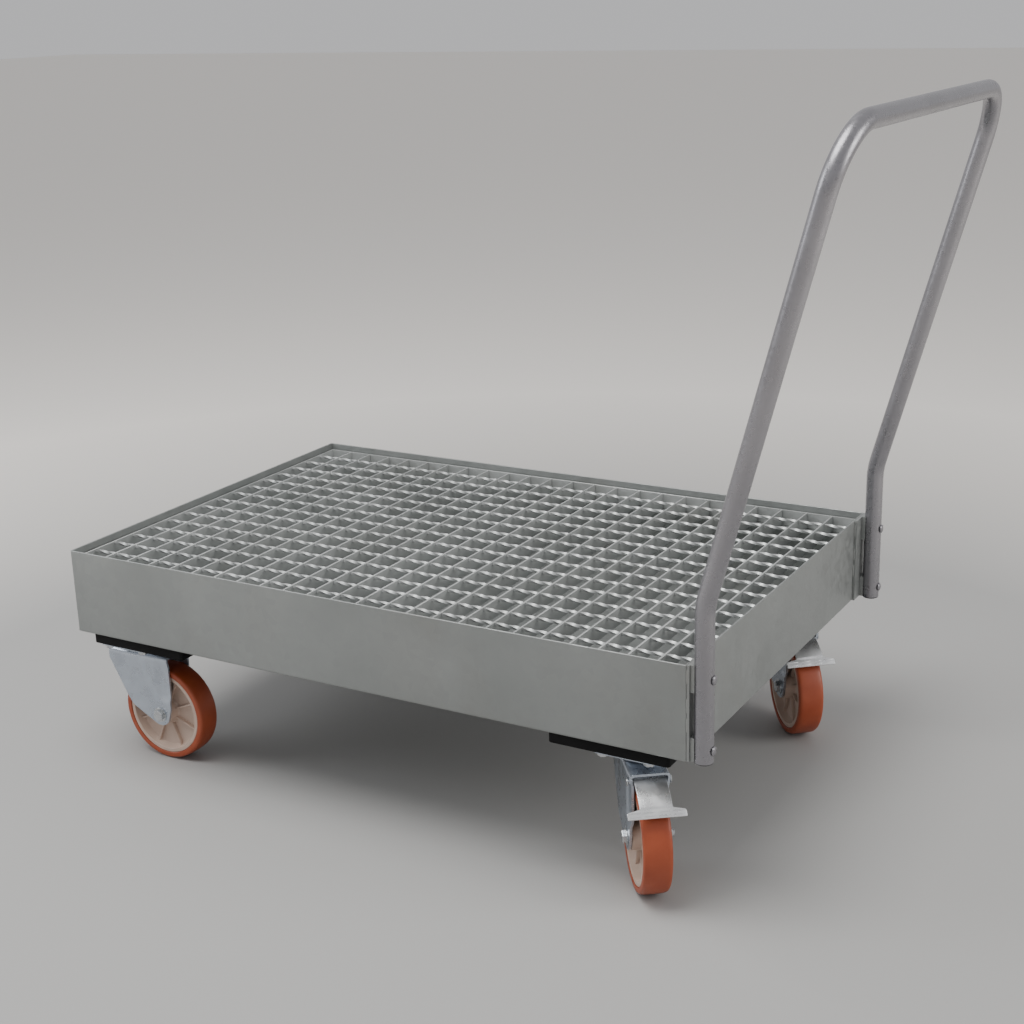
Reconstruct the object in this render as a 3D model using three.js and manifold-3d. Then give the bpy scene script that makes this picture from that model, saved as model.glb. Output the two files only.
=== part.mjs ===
// Mobile spill tray for drums: a folded steel sump on four swivel castors, with a
// lift-out steel grating, a tubular push handle and brakes on the handle-end castors.
// Millimetres, +Z up. +X points to the handle, -Y is the front long side, z = 0 is the floor.
import * as THREE from 'three';
import { mergeVertices } from 'three/addons/utils/BufferGeometryUtils.js';
import Module from 'manifold-3d';

const wasm = await Module();
wasm.setup();

// Clearances
const restGap = 0.3;            // between pieces that lie against each other
const runningGap = 0.5;         // round a shaft in its hole

// Tray
const trayLength = 1200;
const trayWidth = 800;
const trayHeight = 155;
const traySheet = 3;

// Grating and the ledges it rests on
const gratingRecess = 12;       // below the tray's rim
const gratingClearance = 4;     // to the tray's walls, all round
const gratingDepth = 30;
const gratingBar = 3;           // thickness of a bearing bar
const gratingPitch = 50;        // between bearing bars
const tieBar = 6;               // thickness of a cross bar
const tieCount = 3;
const ledgeLeg = 30;
const ledgeSheet = 3;

// Castor mounting pads
const padLength = 205;
const padWidth = 150;
const padThickness = 18;
const padEndInset = 30;
const padSideInset = 6;
const padCorner = 6;            // radius

// Castors
const castorFreeEndInset = 85;  // swivel axis to the end wall opposite the handle
const castorHandleInset = 112;  // swivel axis to the handle-end wall
const castorSideInset = 80;     // swivel axis to the long walls
const plateLength = 105;
const plateWidth = 130;
const plateThickness = 6;
const plateBoltX = 78;          // spacing of the plate's bolt holes
const plateBoltY = 102;
const plateBoltHole = 5.5;      // radius
const plateCorner = 10;         // radius
const raceRadius = 44;
const raceHeight = 17;
const raceBore = 20;            // radius
const raceChamfer = 4;
const kingBoltRadius = 8;
const kingBoltRecess = 1;       // its top below the plate's
const kingNutFlats = 24;
const kingNutHeight = 9;
const forkSheet = 4;
const forkLead = 64;            // fork's head ahead of the swivel axis
const forkTail = 26;            // fork's trailing edge behind the axle
const forkSideGap = 1;          // fork to hub, each side
const crownHeadroom = 22;       // wheel to the underside of the fork's head
const forkCorner = 3;           // radius, in plan
const trail = 47;               // swivel axis to axle
const cheekHeadDepth = 22;      // upright part of a cheek's front edge
const cheekShoulder = [38, 24]; // end of its slope: behind the front edge, above the axle
const cheekKnee = [42, 12];     // control point of the curve to the foot
const cheekFoot = [54, 6];
const cheekBossRadius = 21;
const cheekBossArc = [243, 351]; // degrees round the axle
const cheekBossShoulder = 14;   // above the axle, where the back edge turns upright
const wheelDiameter = 180;
const treadThickness = 12;
const treadWidth = 45;
const hubWidth = 54;
const hubRadius = 22;
const hubDraft = 2;
const wheelWeb = 14;
const rimThickness = 7;
const rimSetback = 1;           // rim's edge inside the tread's
const treadBevel = [4, 6];      // at its shoulders: radial, across
const axleRadius = 6;
const axleFlats = 19;
const axleHeadHeight = 7.5;
const threadShow = 3;           // bolt end beyond its nut
const sleeveWall = 2;

// Brake, on the handle-end castors
const pedalGap = 14;            // tread to pedal
const pedalSheet = 4;
const pedalWidth = 50;
const pedalArc = [44, 80];      // degrees round the axle, from level
const footWidth = 90;
const footArc = [41, 49];
const shoeGap = 9;              // tread to shoe, released
const shoeWidth = 36;
const shoeArc = [50, 64];
const barrelWall = 4;           // of the pedal's barrel, round the pin
const brakePinRadius = 4;
const brakePinHead = 2.5;       // lip and height
const brakePinDrop = 12;        // below the fork's head
const brakePinBack = 15;        // behind the axle

// Push handle and its brackets
const tubeDiameter = 30;
const tubeWall = 2;
const handleTop = 1167;         // tube centre above the floor
const kneeHeight = 494;         // where the legs start to lean out
const handleLean = 15.4;        // degrees
const kneeRadius = 140;
const cornerRadius = 92;
const legStandoff = 7;          // end wall to tube
const legFoot = 2;              // tube's lower end above the tray's underside
const bracketSheet = 4;
const bracketFlange = 25;       // inward of the tube
const lugWidth = 22;
const lugGrip = 4;              // how far a lug reaches round the tube
const lowerLugHeight = 38;
const upperLugHeight = 43;
const handleBoltRadius = 4;
const buttonRadius = 7.5;       // of a handle bolt's round head
const buttonHeight = 3;
const handleBoltTip = 0.5;      // bolt end to the bracket's plate

// Facets round a circle
const boltSides = 12;
const shaftSides = 16;
const ringSides = 24;
const treadSides = 36;
const saddleSides = 32;
const kneeSteps = 2;
const cornerSteps = 7;

// Headings of the castors at rest: the way each wheel trails, degrees from +X
const castorPlaces = [
  { name: 'front_left', x: -1, y: -1, heading: 0, braked: false },
  { name: 'rear_left', x: -1, y: 1, heading: 0, braked: false },
  { name: 'front_right', x: 1, y: -1, heading: -53, braked: true },
  { name: 'rear_right', x: 1, y: 1, heading: -50, braked: true },
];

// Derived places
const wheelRadius = wheelDiameter / 2;
const forkHalfGap = hubWidth / 2 + forkSideGap;
const forkHalfWidth = forkHalfGap + forkSheet;
const crownBottom = wheelDiameter + crownHeadroom;
const crownTop = crownBottom + forkSheet;
const raceBottom = crownTop + restGap;
const raceTop = raceBottom + raceHeight;
const plateBottom = raceTop + restGap;
const plateTop = plateBottom + plateThickness;
const padBottom = plateTop + restGap;
const padTop = padBottom + padThickness;
const trayBottom = padTop + restGap;
const rimHeight = trayBottom + trayHeight;
const endWall = trayLength / 2;
const sideWall = trayWidth / 2;
const gratingTop = rimHeight - gratingRecess;
const gratingBottom = gratingTop - gratingDepth;
const legX = endWall + legStandoff + tubeDiameter / 2;
const legY = sideWall - tubeDiameter / 2;
const drill = 4 * forkHalfWidth; // long enough to go through anything it meets

const galvanised = [0x8b8f8c, 0.5, 0.7];
const zincPlated = [0x8f9aa8, 0.35, 0.8];
const blackPad = [0x1a1a1b, 0.7, 0.1];
const steelTube = [0x86848a, 0.4, 0.7];
const coreGrey = [0xc4b5ab, 0.6, 0];
const treadOrange = [0xa8512f, 0.5, 0];

const assembly = new THREE.Group();

function add(parent, name, geometry, [colour, roughness, metalness]) {
  const material = new THREE.MeshStandardMaterial({ color: colour, roughness, metalness });
  const mesh = new THREE.Mesh(geometry, material);
  mesh.name = name;
  parent.add(mesh);
  return mesh;
}

// Keeps positions only, merges shared corners and drops faces with no area.
function weld(geometry) {
  const bare = geometry.clone();
  bare.deleteAttribute('normal');
  bare.deleteAttribute('uv');
  const merged = mergeVertices(bare, 1e-3);
  const index = merged.index.array;
  const kept = [];
  for (let i = 0; i < index.length; i += 3) {
    const [a, b, c] = [index[i], index[i + 1], index[i + 2]];
    if (a !== b && b !== c && c !== a) kept.push(a, b, c);
  }
  merged.setIndex(kept);
  return merged;
}

function toSolid(geometry) {
  const welded = facingOut(geometry);
  const vertProperties = new Float32Array(welded.attributes.position.array);
  const triVerts = new Uint32Array(welded.index.array);
  return new wasm.Manifold(new wasm.Mesh({ numProp: 3, vertProperties, triVerts }));
}

function toGeometry(solid) {
  const mesh = solid.getMesh();
  const geometry = new THREE.BufferGeometry();
  geometry.setAttribute('position', new THREE.BufferAttribute(mesh.vertProperties, 3));
  geometry.setIndex(new THREE.BufferAttribute(mesh.triVerts, 1));
  return geometry;
}

function join(...geometries) {
  return toGeometry(geometries.map(toSolid).reduce((whole, piece) => whole.add(piece)));
}

function cut(geometry, ...tools) {
  return toGeometry(tools.map(toSolid).reduce((whole, tool) => whole.subtract(tool), toSolid(geometry)));
}

// Turns a closed mesh's faces outward, whichever way its outline was drawn.
function facingOut(geometry) {
  const welded = weld(geometry);
  const index = Array.from(welded.index.array);
  const corners = welded.attributes.position;
  const [a, b, c] = [new THREE.Vector3(), new THREE.Vector3(), new THREE.Vector3()];
  let volume = 0;
  for (let i = 0; i < index.length; i += 3) {
    a.fromBufferAttribute(corners, index[i]);
    b.fromBufferAttribute(corners, index[i + 1]);
    c.fromBufferAttribute(corners, index[i + 2]);
    volume += a.dot(b.cross(c));
  }
  welded.setIndex(volume < 0 ? index.reverse() : index);
  return welded;
}

// A block between two opposite corners, which it meets exactly.
function block(x0, x1, y0, y1, z0, z1) {
  const geometry = new THREE.BoxGeometry(1, 1, 1);
  const corners = geometry.attributes.position;
  for (let i = 0; i < corners.count; i += 1) {
    const x = corners.getX(i) < 0 ? x0 : x1;
    const y = corners.getY(i) < 0 ? y0 : y1;
    const z = corners.getZ(i) < 0 ? z0 : z1;
    corners.setXYZ(i, x, y, z);
  }
  return geometry;
}

// A cylinder or prism about an axis ('x', 'y' or 'z') through the origin.
function rod(radius, length, axis, sides = shaftSides) {
  const geometry = new THREE.CylinderGeometry(radius, radius, length, sides);
  if (axis === 'x') geometry.rotateZ(Math.PI / 2);
  if (axis === 'z') geometry.rotateX(Math.PI / 2);
  return geometry;
}

function hexagon(flats, length, axis) {
  return rod(flats / Math.sqrt(3), length, axis, 6);
}

// A ring or disc turned about Z from a closed outline of [radius, height] points.
function turned(outline, sides) {
  const points = outline.map(([radius, height]) => new THREE.Vector2(radius, height));
  return new THREE.LatheGeometry(points, sides).rotateX(Math.PI / 2);
}

// An outline in the X-Z plane given a width across Y, centred on y.
function slab(shape, width, y = 0, curveSegments = 4) {
  const geometry = new THREE.ExtrudeGeometry(shape, { depth: width, bevelEnabled: false, curveSegments });
  return geometry.rotateX(Math.PI / 2).translate(0, y + width / 2, 0);
}

function roundedRectangle(x0, x1, y0, y1, radius) {
  const shape = new THREE.Shape();
  shape.moveTo(x0 + radius, y0);
  shape.lineTo(x1 - radius, y0);
  shape.absarc(x1 - radius, y0 + radius, radius, -Math.PI / 2, 0);
  shape.lineTo(x1, y1 - radius);
  shape.absarc(x1 - radius, y1 - radius, radius, 0, Math.PI / 2);
  shape.lineTo(x0 + radius, y1);
  shape.absarc(x0 + radius, y1 - radius, radius, Math.PI / 2, Math.PI);
  shape.lineTo(x0, y0 + radius);
  shape.absarc(x0 + radius, y0 + radius, radius, Math.PI, Math.PI * 1.5);
  return shape;
}

// A flat plate from an outline in the X-Y plane.
function plate(shape, z0, z1, curveSegments = 2) {
  const depth = z1 - z0;
  const geometry = new THREE.ExtrudeGeometry(shape, { depth, bevelEnabled: false, curveSegments });
  return geometry.translate(0, 0, z0);
}

// The sump, open at the top: a sheet folded up along both long sides, closed by a plate
// welded on at each end.
function buildTray() {
  const panX = endWall - traySheet - restGap;
  const innerY = sideWall - traySheet;
  const outer = block(-panX, panX, -sideWall, sideWall, trayBottom, rimHeight);
  const hollow = block(-endWall, endWall, -innerY, innerY, trayBottom + traySheet, rimHeight + 1);
  add(assembly, 'tray', cut(outer, hollow), galvanised);
  for (const [name, side] of [['tray_end_free', -1], ['tray_end_handle', 1]]) {
    const [x0, x1] = [side * endWall, side * (endWall - traySheet)].sort((a, b) => a - b);
    const end = block(x0, x1, -sideWall, sideWall, trayBottom, rimHeight);
    add(assembly, name, facingOut(end), galvanised);
  }
}

// An angle along each long wall that carries the ends of the bearing bars.
function buildLedges() {
  const halfLength = endWall - traySheet - gratingClearance;
  const top = gratingBottom - restGap;
  for (const [name, side] of [['ledge_front', -1], ['ledge_rear', 1]]) {
    const wall = side * (sideWall - traySheet - restGap);
    const edge = wall - side * ledgeLeg;
    const flangeInner = wall - side * ledgeSheet;
    const [lowY, highY] = [Math.min(wall, edge), Math.max(wall, edge)];
    const [lowF, highF] = [Math.min(wall, flangeInner), Math.max(wall, flangeInner)];
    const shelf = block(-halfLength, halfLength, lowY, highY, top - ledgeSheet, top);
    const flange = block(-halfLength, halfLength, lowF, highF, top - ledgeLeg, top);
    add(assembly, name, join(shelf, flange), galvanised);
  }
}

// The lift-out deck: bearing bars across the tray, banded at their ends and tied by cross
// bars. The fifteen thin rods of the real deck are lumped into three bars of equal weight.
function buildGrating() {
  const halfLength = endWall - traySheet - gratingClearance;
  const halfWidth = sideWall - traySheet - gratingClearance;
  const slots = [];
  const bays = Math.round((2 * halfLength - gratingBar) / gratingPitch);
  const bay = (2 * halfLength - gratingBar) / bays;
  const rowWidth = (2 * (halfWidth - gratingBar) - tieCount * tieBar) / (tieCount + 1);
  for (let i = 0; i < bays; i += 1) {
    for (let j = 0; j <= tieCount; j += 1) {
      const x0 = -halfLength + gratingBar + i * bay;
      const y0 = -halfWidth + gratingBar + j * (rowWidth + tieBar);
      const x1 = x0 + bay - gratingBar;
      const y1 = y0 + rowWidth;
      slots.push(block(x0, x1, y0, y1, gratingBottom - 1, gratingTop + 1));
    }
  }
  const whole = block(-halfLength, halfLength, -halfWidth, halfWidth, gratingBottom, gratingTop);
  add(assembly, 'grating', cut(whole, ...slots), galvanised);
}

// A black spacer plate under each corner, between the tray and a castor.
function buildPad(place) {
  const outerX = endWall - padEndInset;
  const outerY = sideWall - padSideInset;
  const xs = [place.x * outerX, place.x * (outerX - padLength)].sort((a, b) => a - b);
  const ys = [place.y * outerY, place.y * (outerY - padWidth)].sort((a, b) => a - b);
  const outline = roundedRectangle(xs[0], xs[1], ys[0], ys[1], padCorner);
  add(assembly, `pad_${place.name}`, plate(outline, padBottom, padTop), blackPad);
}

// Top plate, ball race and king bolt: the part of a castor that stays with the tray.
function buildCastorHead(place, group) {
  const [halfX, halfY] = [plateLength / 2, plateWidth / 2];
  const outline = roundedRectangle(-halfX, halfX, -halfY, halfY, plateCorner);
  const holes = [rod(kingBoltRadius + runningGap, drill, 'z')];
  for (const x of [-plateBoltX / 2, plateBoltX / 2]) {
    for (const y of [-plateBoltY / 2, plateBoltY / 2]) {
      holes.push(rod(plateBoltHole, drill, 'z', boltSides).translate(x, y, 0));
    }
  }
  for (const hole of holes) hole.translate(0, 0, plateBottom);
  add(group, `castor_plate_${place.name}`, cut(plate(outline, plateBottom, plateTop), ...holes), zincPlated);

  const waist = raceRadius - raceChamfer;
  const race = turned([
    [raceBore, raceBottom], [waist, raceBottom], [raceRadius, raceBottom + raceChamfer],
    [raceRadius, raceTop - raceChamfer], [waist, raceTop], [raceBore, raceTop],
    [raceBore, raceBottom],
  ], ringSides);
  add(group, `ball_race_${place.name}`, facingOut(race), zincPlated);

  const nutTop = crownBottom - restGap;
  const shankBottom = nutTop - kingNutHeight - threadShow;
  const shankTop = plateTop - kingBoltRecess;
  const shank = rod(kingBoltRadius, shankTop - shankBottom, 'z');
  shank.translate(0, 0, (shankTop + shankBottom) / 2);
  const nut = hexagon(kingNutFlats, kingNutHeight, 'z').translate(0, 0, nutTop - kingNutHeight / 2);
  add(group, `king_bolt_${place.name}`, join(shank, nut), zincPlated);
}

// One side of the fork: wide at the head, cut back in front and round below the axle.
function cheekOutline() {
  const fromFront = ([back, up]) => [back - forkLead, wheelRadius + up];
  const [bossFrom, bossTo] = cheekBossArc.map(THREE.MathUtils.degToRad);
  const shape = new THREE.Shape();
  shape.moveTo(-forkLead, crownTop);
  shape.lineTo(-forkLead, crownTop - cheekHeadDepth);
  shape.lineTo(...fromFront(cheekShoulder));
  shape.quadraticCurveTo(...fromFront(cheekKnee), ...fromFront(cheekFoot));
  shape.absarc(trail, wheelRadius, cheekBossRadius, bossFrom, bossTo);
  shape.lineTo(trail + forkTail, wheelRadius + cheekBossShoulder);
  shape.lineTo(trail + forkTail, crownTop);
  return shape;
}

function brakePinPlace() {
  return new THREE.Vector2(trail + brakePinBack, crownBottom - brakePinDrop);
}

// The swivelling fork: two cheeks hanging from a flat head with a round seat for the race.
function buildFork(place, group) {
  const cheekY = forkHalfGap + forkSheet / 2;
  const [front, back] = [-forkLead, trail + forkTail];
  const headOutline = roundedRectangle(front, back, -forkHalfWidth, forkHalfWidth, forkCorner);
  const pieces = [
    plate(headOutline, crownBottom, crownTop),
    rod(raceRadius, forkSheet, 'z', ringSides).translate(0, 0, (crownBottom + crownTop) / 2),
    slab(cheekOutline(), forkSheet, cheekY),
    slab(cheekOutline(), forkSheet, -cheekY),
  ];
  const holes = [
    rod(kingBoltRadius + runningGap, forkSheet + 2, 'z').translate(0, 0, (crownBottom + crownTop) / 2),
    rod(axleRadius + restGap, drill, 'y').translate(trail, 0, wheelRadius),
  ];
  if (place.braked) {
    const pin = brakePinPlace();
    holes.push(rod(brakePinRadius + restGap, drill, 'y', boltSides).translate(pin.x, 0, pin.y));
  }
  add(group, `fork_${place.name}`, cut(join(...pieces), ...holes), zincPlated);
}

// The wheel: a dished core on a bored hub, with a thick bonded tread.
function buildWheel(place, group) {
  const bore = axleRadius + restGap + sleeveWall + restGap;
  const rimOuter = wheelRadius - treadThickness;
  const rimInner = rimOuter - rimThickness;
  const halfRim = treadWidth / 2 - rimSetback;
  const halfWeb = wheelWeb / 2;
  const halfHub = hubWidth / 2;
  const side = [[bore, halfHub], [hubRadius, halfHub], [hubRadius + hubDraft, halfWeb],
    [rimInner - hubDraft, halfWeb], [rimInner, halfRim], [rimOuter, halfRim]];
  const other = side.map(([radius, y]) => [radius, -y]).reverse();
  const core = turned([...side, ...other, side[0]], ringSides).rotateX(-Math.PI / 2);
  add(group, `wheel_core_${place.name}`, facingOut(core), coreGrey)
    .position.set(trail, 0, wheelRadius);

  const halfTread = treadWidth / 2;
  const seat = (rimOuter + restGap) / Math.cos(Math.PI / treadSides);
  const [bevelIn, bevelAcross] = treadBevel;
  const shoulder = wheelRadius - bevelIn;
  const halfFlat = halfTread - bevelAcross;
  const tread = turned([
    [seat, -halfTread], [shoulder, -halfTread], [wheelRadius, -halfFlat],
    [wheelRadius, halfFlat], [shoulder, halfTread], [seat, halfTread], [seat, -halfTread],
  ], treadSides).rotateX(-Math.PI / 2);
  add(group, `tread_${place.name}`, facingOut(tread), treadOrange).position.set(trail, 0, wheelRadius);
}

// Through bolt, locknut and spacer sleeve on which a wheel turns.
function buildAxle(place, group) {
  const face = forkHalfWidth + restGap;
  const threadEnd = face + axleHeadHeight + threadShow;
  const shank = rod(axleRadius, face + threadEnd, 'y').translate(0, (threadEnd - face) / 2, 0);
  const head = hexagon(axleFlats, axleHeadHeight, 'y').translate(0, -face - axleHeadHeight / 2, 0);
  add(group, `axle_bolt_${place.name}`, join(shank, head), zincPlated)
    .position.set(trail, 0, wheelRadius);
  const nut = cut(hexagon(axleFlats, axleHeadHeight, 'y'), rod(axleRadius + restGap, drill, 'y'));
  add(group, `axle_nut_${place.name}`, nut, zincPlated)
    .position.set(trail, face + axleHeadHeight / 2, wheelRadius);
  const sleeveRadius = axleRadius + restGap + sleeveWall;
  const sleeveLength = 2 * (forkHalfGap - restGap);
  const sleeve = cut(rod(sleeveRadius, sleeveLength, 'y'), rod(axleRadius + restGap, drill, 'y'));
  add(group, `axle_sleeve_${place.name}`, sleeve, zincPlated).position.set(trail, 0, wheelRadius);
}

// A strip bent round the wheel, between two angles in degrees above the horizontal.
function wheelStrip(inner, outer, arc, width) {
  const [from, to] = arc.map(THREE.MathUtils.degToRad);
  const shape = new THREE.Shape();
  shape.absarc(trail, wheelRadius, outer, from, to, false);
  shape.absarc(trail, wheelRadius, inner, to, from, true);
  return slab(shape, width);
}

// Foot pedal with its shoe, on a pin through the fork behind the wheel's top.
function buildBrake(place, group) {
  const pin = brakePinPlace();
  const inner = wheelRadius + pedalGap;
  const outer = inner + pedalSheet;
  const barrel = rod(brakePinRadius + barrelWall, pedalWidth, 'y').translate(pin.x, 0, pin.y);
  const arm = wheelStrip(inner, outer, pedalArc, pedalWidth);
  const foot = wheelStrip(inner, outer, footArc, footWidth);
  const pinHole = rod(brakePinRadius + restGap, drill, 'y', boltSides).translate(pin.x, 0, pin.y);
  add(group, `brake_pedal_${place.name}`, cut(join(barrel, arm, foot), pinHole), zincPlated);

  const shoe = wheelStrip(wheelRadius + shoeGap, inner - restGap, shoeArc, shoeWidth);
  add(group, `brake_shoe_${place.name}`, facingOut(shoe), blackPad);

  const face = forkHalfWidth + restGap;
  const pinPieces = [rod(brakePinRadius, 2 * face, 'y', boltSides)];
  for (const side of [-1, 1]) {
    const head = rod(brakePinRadius + brakePinHead, brakePinHead, 'y', boltSides);
    pinPieces.push(head.translate(0, side * (face + brakePinHead / 2), 0));
  }
  add(group, `brake_pin_${place.name}`, join(...pinPieces), zincPlated).position.set(pin.x, 0, pin.y);
}

function buildCastor(place) {
  const inset = place.x < 0 ? castorFreeEndInset : castorHandleInset;
  const head = new THREE.Group();
  head.position.set(place.x * (endWall - inset), place.y * (sideWall - castorSideInset), 0);
  const swivel = new THREE.Group();
  swivel.rotation.z = THREE.MathUtils.degToRad(place.heading);
  head.add(swivel);
  assembly.add(head);
  buildCastorHead(place, head);
  buildFork(place, swivel);
  buildWheel(place, swivel);
  buildAxle(place, swivel);
  if (place.braked) buildBrake(place, swivel);
}

// A path through fixed stations: one station per step, however far apart they are.
class StationPath extends THREE.Curve {
  constructor(stations) {
    super();
    this.stations = stations;
  }

  getPoint(t, target = new THREE.Vector3()) {
    const last = this.stations.length - 1;
    const place = Math.min(Math.max(t, 0), 1) * last;
    const i = Math.min(Math.floor(place), last - 1);
    return target.lerpVectors(this.stations[i], this.stations[i + 1], place - i);
  }

  getPointAt(u, target) {
    return this.getPoint(u, target);
  }

  getTangentAt(u, target = new THREE.Vector3()) {
    const last = this.stations.length - 1;
    const i = Math.round(u * last);
    const before = this.stations[Math.max(i - 1, 0)];
    const after = this.stations[Math.min(i + 1, last)];
    const here = this.stations[i];
    const arriving = here.clone().sub(before).normalize();
    const leaving = after.clone().sub(here).normalize();
    return target.addVectors(arriving, leaving).normalize();
  }
}

// Points round a bend of the given radius where a path turns from one direction to another.
function bend(corner, from, to, radius, steps) {
  const angle = from.angleTo(to);
  const setback = radius * Math.tan(angle / 2);
  const start = corner.clone().addScaledVector(from, -setback);
  const normal = to.clone().addScaledVector(from, -to.dot(from)).normalize();
  const centre = start.clone().addScaledVector(normal, radius);
  const points = [];
  for (let i = 0; i <= steps; i += 1) {
    const turn = angle * i / steps;
    const point = centre.clone().addScaledVector(normal, -radius * Math.cos(turn));
    points.push(point.addScaledVector(from, radius * Math.sin(turn)));
  }
  return points;
}

// One leg of the handle, from its foot to the middle of the top bar's bend.
function legStations(side) {
  const lean = THREE.MathUtils.degToRad(handleLean);
  const up = new THREE.Vector3(0, 0, 1);
  const leaning = new THREE.Vector3(Math.sin(lean), 0, Math.cos(lean));
  const across = new THREE.Vector3(0, -side, 0);
  const foot = new THREE.Vector3(legX, side * legY, trayBottom + legFoot);
  const knee = new THREE.Vector3(legX, side * legY, kneeHeight);
  const rise = handleTop - kneeHeight;
  const corner = knee.clone().addScaledVector(leaning, rise / Math.cos(lean));
  const kneeBend = bend(knee, up, leaning, kneeRadius, kneeSteps);
  const cornerBend = bend(corner, leaning, across, cornerRadius, cornerSteps);
  return [foot, ...kneeBend, ...cornerBend];
}

// Heights of the two lugs that hold each leg, as [bottom, top].
function lugSpans() {
  const bottom = trayBottom + legFoot;
  return [[bottom, bottom + lowerLugHeight], [rimHeight - upperLugHeight, rimHeight]];
}

function boltHeights() {
  return lugSpans().map(([bottom, top]) => (bottom + top) / 2);
}

// The bent tube, drilled for its bolts at both legs.
function buildHandleTube() {
  const section = new THREE.Shape();
  section.absarc(0, 0, tubeDiameter / 2, 0, Math.PI * 2);
  const bore = new THREE.Path();
  bore.absarc(0, 0, tubeDiameter / 2 - tubeWall, 0, Math.PI * 2, true);
  section.holes.push(bore);
  const stations = [...legStations(-1), ...legStations(1).reverse()];
  const extrudePath = new StationPath(stations);
  const steps = stations.length - 1;
  const tube = new THREE.ExtrudeGeometry(section, { steps, extrudePath, curveSegments: 8 });
  const holes = [];
  for (const side of [-1, 1]) {
    for (const z of boltHeights()) {
      const hole = rod(handleBoltRadius + restGap, 2 * tubeDiameter, 'x', boltSides);
      holes.push(hole.translate(legX, side * legY, z));
    }
  }
  add(assembly, 'handle_tube', cut(tube, ...holes), steelTube);
}

// A welded bracket for each leg: a plate on the end wall with two saddle lugs.
function buildHandleBracket(name, side) {
  const back = endWall + restGap;
  const front = back + bracketSheet;
  const centre = side * legY;
  const edge = side * (sideWall - 1);
  const inner = side * (legY - tubeDiameter / 2 - bracketFlange);
  const [lowY, highY] = [Math.min(edge, inner), Math.max(edge, inner)];
  const pieces = [block(back, front, lowY, highY, trayBottom + legFoot, rimHeight)];
  for (const [bottom, top] of lugSpans()) {
    const reach = endWall + legStandoff + lugGrip;
    pieces.push(block(back, reach, centre - lugWidth / 2, centre + lugWidth / 2, bottom, top));
  }
  const tubeSpace = rod(tubeDiameter / 2 + restGap, 2 * trayHeight, 'z', saddleSides);
  const tools = [tubeSpace.translate(legX, centre, rimHeight - trayHeight / 2)];
  for (const z of boltHeights()) {
    const hole = rod(handleBoltRadius + restGap, 2 * legStandoff, 'x', boltSides);
    tools.push(hole.translate(front + legStandoff, centre, z));
  }
  add(assembly, `handle_bracket_${name}`, cut(join(...pieces), ...tools), galvanised);
}

// A button-head bolt through the tube into each lug.
function buildHandleBolts(name, side) {
  const headFace = legX + tubeDiameter / 2 + restGap;
  const tip = endWall + restGap + bracketSheet + handleBoltTip;
  const length = headFace - tip;
  boltHeights().forEach((z, level) => {
    const shank = rod(handleBoltRadius, length, 'x', boltSides);
    shank.translate((headFace + tip) / 2, side * legY, z);
    const head = rod(buttonRadius, buttonHeight, 'x', boltSides);
    head.translate(headFace + buttonHeight / 2, side * legY, z);
    const place = level === 0 ? 'lower' : 'upper';
    add(assembly, `handle_bolt_${name}_${place}`, join(shank, head), steelTube);
  });
}

buildTray();
buildLedges();
buildGrating();
for (const place of castorPlaces) {
  buildPad(place);
  buildCastor(place);
}
buildHandleTube();
for (const [name, side] of [['front', -1], ['rear', 1]]) {
  buildHandleBracket(name, side);
  buildHandleBolts(name, side);
}

// The origin is the middle of the whole assembly's footprint, on the floor.
const middle = new THREE.Box3().setFromObject(assembly).getCenter(new THREE.Vector3());
assembly.position.set(-middle.x, -middle.y, 0);

const group = new THREE.Group();
group.add(assembly);

export default group;
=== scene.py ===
import math

import bmesh
import bpy
from mathutils import Matrix, Vector


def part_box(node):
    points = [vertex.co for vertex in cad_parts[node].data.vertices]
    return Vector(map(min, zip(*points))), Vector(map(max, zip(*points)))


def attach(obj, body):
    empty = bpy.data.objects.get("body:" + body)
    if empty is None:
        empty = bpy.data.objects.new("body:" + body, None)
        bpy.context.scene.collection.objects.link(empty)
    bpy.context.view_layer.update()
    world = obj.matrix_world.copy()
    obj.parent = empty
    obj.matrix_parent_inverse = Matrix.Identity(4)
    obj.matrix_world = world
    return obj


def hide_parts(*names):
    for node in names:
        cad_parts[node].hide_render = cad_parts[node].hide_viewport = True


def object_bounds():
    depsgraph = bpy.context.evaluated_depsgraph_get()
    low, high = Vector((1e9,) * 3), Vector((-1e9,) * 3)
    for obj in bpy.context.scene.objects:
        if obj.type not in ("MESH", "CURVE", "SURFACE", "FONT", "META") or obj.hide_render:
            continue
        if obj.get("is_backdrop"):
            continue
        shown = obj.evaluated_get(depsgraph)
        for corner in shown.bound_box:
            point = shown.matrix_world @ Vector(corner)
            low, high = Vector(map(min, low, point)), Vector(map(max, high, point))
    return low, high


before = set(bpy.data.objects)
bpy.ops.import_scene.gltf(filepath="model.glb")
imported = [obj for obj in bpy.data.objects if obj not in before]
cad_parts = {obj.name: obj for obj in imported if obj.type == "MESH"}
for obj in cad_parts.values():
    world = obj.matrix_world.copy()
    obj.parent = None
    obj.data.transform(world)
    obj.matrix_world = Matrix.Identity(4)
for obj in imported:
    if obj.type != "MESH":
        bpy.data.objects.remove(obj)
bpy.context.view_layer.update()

# ---------------------------------------------------------------------------------------------
# Sump tray. A 3 mm steel sheet folded up along both long sides and closed by a plate at each
# end, welded and ground, then hot-dip galvanised: a dull skin with faint crystals and stains.
# ---------------------------------------------------------------------------------------------
MM = 0.001
SHEET = 3 * MM
FOLD_RADIUS = 5 * MM
CORNER_RADIUS = 3 * MM
RIM_EASE = 0.7 * MM


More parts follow.
